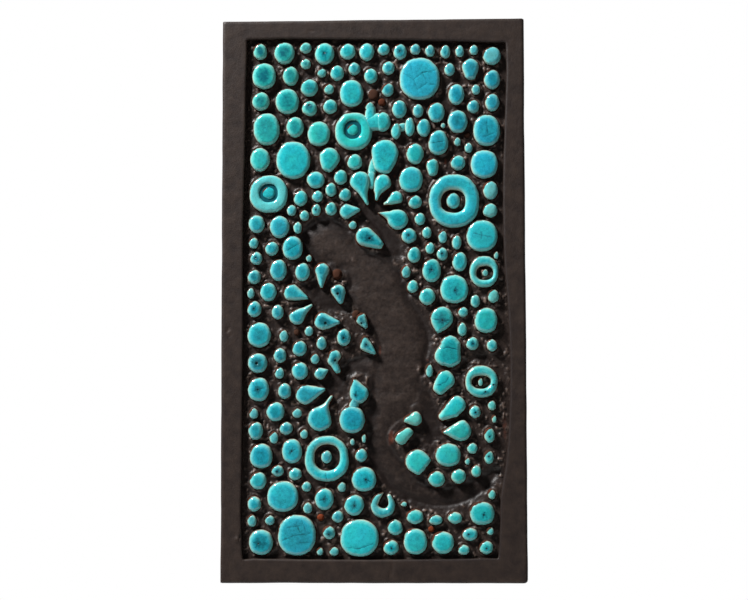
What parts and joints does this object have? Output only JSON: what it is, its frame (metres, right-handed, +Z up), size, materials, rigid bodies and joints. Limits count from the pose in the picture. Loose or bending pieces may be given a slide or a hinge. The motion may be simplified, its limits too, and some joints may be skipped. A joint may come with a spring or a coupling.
{
  "type": "ceramic lizard wall plaque",
  "caption": "Upright ceramic wall plaque: a sunken lizard curls among raised, glazed dots, drops and rings inside a plain border, with a slot in its back for a nail.",
  "frame": {"origin": "centre of the flat back, on the wall plane", "axes": "+Z up the plaque, +Y into the wall, +X to the right as seen from the front"},
  "size_m": [0.152, 0.0123, 0.282],
  "materials": {
    "dark_stoneware": "unglazed dark brown manganese stoneware, fired to a matt to satin skin",
    "turquoise_glaze": "glossy copper turquoise glaze on the raised dots, pale where it thins at their rims"
  },
  "bodies": {
    "root": {"lizard_tile": "dark_stoneware"}
  },
  "joints": []
}
